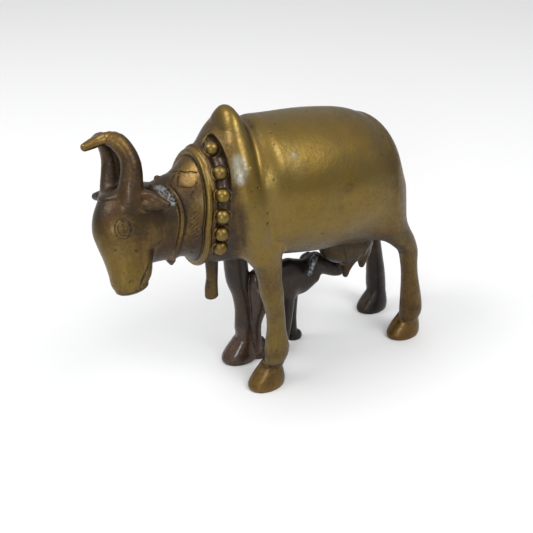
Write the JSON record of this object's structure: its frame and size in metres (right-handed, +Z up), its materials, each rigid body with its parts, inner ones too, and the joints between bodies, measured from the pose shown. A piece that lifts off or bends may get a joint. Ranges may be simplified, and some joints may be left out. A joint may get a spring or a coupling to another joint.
{
  "type": "cow and calf figurine",
  "caption": "Cast brass figure of a humped cow with curved horns, beaded collar and pendant, standing on all fours over a calf that reaches up to its udder.",
  "frame": {"origin": "centre of the bounding box's bottom face, on the plane that the hooves stand on", "axes": "+Z up; the cow looks along -X and its tail is at +X; the cow's left side is -Y"},
  "size_m": [0.198, 0.069, 0.163],
  "materials": {
    "aged_brass": "hand polished on the body, dark patina in the hollows, underneath and on the calf"
  },
  "bodies": {
    "root": {"cow_and_calf": "aged_brass"}
  },
  "joints": []
}
